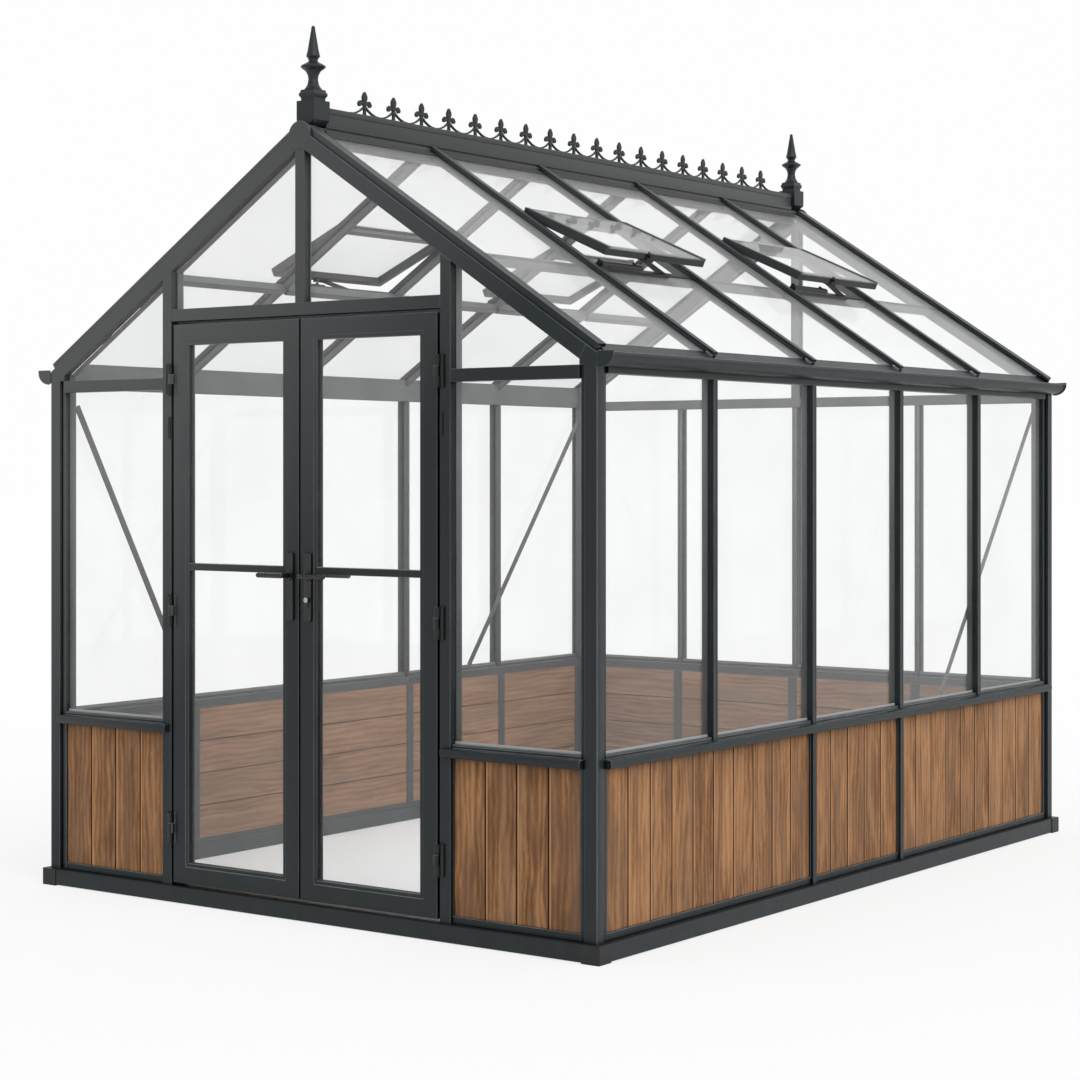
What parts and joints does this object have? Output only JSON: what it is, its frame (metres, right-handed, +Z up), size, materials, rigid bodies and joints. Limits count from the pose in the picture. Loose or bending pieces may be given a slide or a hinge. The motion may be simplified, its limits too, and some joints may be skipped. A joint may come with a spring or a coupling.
{
  "type": "victorian greenhouse",
  "caption": "Glazed greenhouse with a boarded dado, a pitched roof with opened vents, double gable doors, ridge cresting and spire finials.",
  "frame": {"origin": "on the ground, under the middle of the overall box", "axes": "+X to the right along the front gable, +Y from the front gable to the back gable, +Z up"},
  "size_m": [2.42, 3.2336, 2.8513],
  "materials": {
    "frame": "anthracite powder coat on aluminium profiles",
    "doors": "anthracite powder coat",
    "castings": "dark powder coat on cast corners",
    "cresting": "anthracite powder coat on cast ornament",
    "hinges": "black satin",
    "handles": "black satin",
    "opener": "black satin",
    "glass": "clear toughened glass",
    "boards": "oiled brown boards",
    "lining": "oiled brown boards"
  },
  "bodies": {
    "building": {"base_beams": "frame", "base_corners": "castings", "corner_posts": "frame", "door_jambs": "frame", "door_header": "frame", "front_rails": "frame", "back_rails": "frame", "front_rafters": "frame", "back_rafters": "frame", "front_sills": "frame", "back_sills": "frame", "right_sills": "frame", "left_sills": "frame", "dado_posts": "frame", "front_panel_frames": "frame", "back_panel_frames": "frame", "right_panel_frames": "frame", "left_panel_frames": "frame", "front_boards": "boards", "back_boards": "boards", "right_boards": "boards", "left_boards": "boards", "front_lining": "lining", "back_lining": "lining", "right_lining": "lining", "left_lining": "lining", "right_bars": "frame", "left_bars": "frame", "back_bars": "frame", "front_glass": "glass", "back_glass": "glass", "right_glass": "glass", "left_glass": "glass", "eave_beams": "frame", "right_gutter": "frame", "left_gutter": "frame", "ridge_beam": "frame", "ridge_cover": "frame", "cresting": "cresting", "front_finial": "cresting", "back_finial": "cresting", "right_roof_bars": "frame", "left_roof_bars": "frame", "right_purlins": "frame", "left_purlins": "frame", "right_roof_glass": "glass", "left_roof_glass": "glass", "vent_frames": "frame", "vent_glass": "glass", "vent_openers": "opener", "wind_braces": "frame", "hinge_knuckles": "hinges"},
    "left_leaf": {"left_door": "doors", "left_door_glass": "glass", "left_plates": "handles"},
    "left_handle": {"left_lever": "handles"},
    "right_leaf": {"right_door": "doors", "right_door_glass": "glass", "right_plates": "handles"},
    "right_handle": {"right_lever": "handles"}
  },
  "joints": [
    {"name": "left_door_hinge", "type": "hinge", "parent": "building", "child": "left_leaf", "pos_m": [-0.5635, -1.57275, 1], "axis": [0, 0, -1], "range_deg": [0, 100]},
    {"name": "right_door_hinge", "type": "hinge", "parent": "building", "child": "right_leaf", "pos_m": [0.5635, -1.57275, 1], "axis": [0, 0, 1], "range_deg": [0, 100]},
    {"name": "left_lever_turn", "type": "hinge", "parent": "left_leaf", "child": "left_handle", "pos_m": [-0.0384, -1.56375, 1.095], "axis": [0, -1, 0], "range_deg": [0, 45], "stiffness_Nm_per_rad": 1.2, "springref_deg": -22.92},
    {"name": "right_lever_turn", "type": "hinge", "parent": "right_leaf", "child": "right_handle", "pos_m": [0.0384, -1.56375, 1.095], "axis": [0, 1, 0], "range_deg": [0, 45], "stiffness_Nm_per_rad": 1.2, "springref_deg": -22.92}
  ]
}
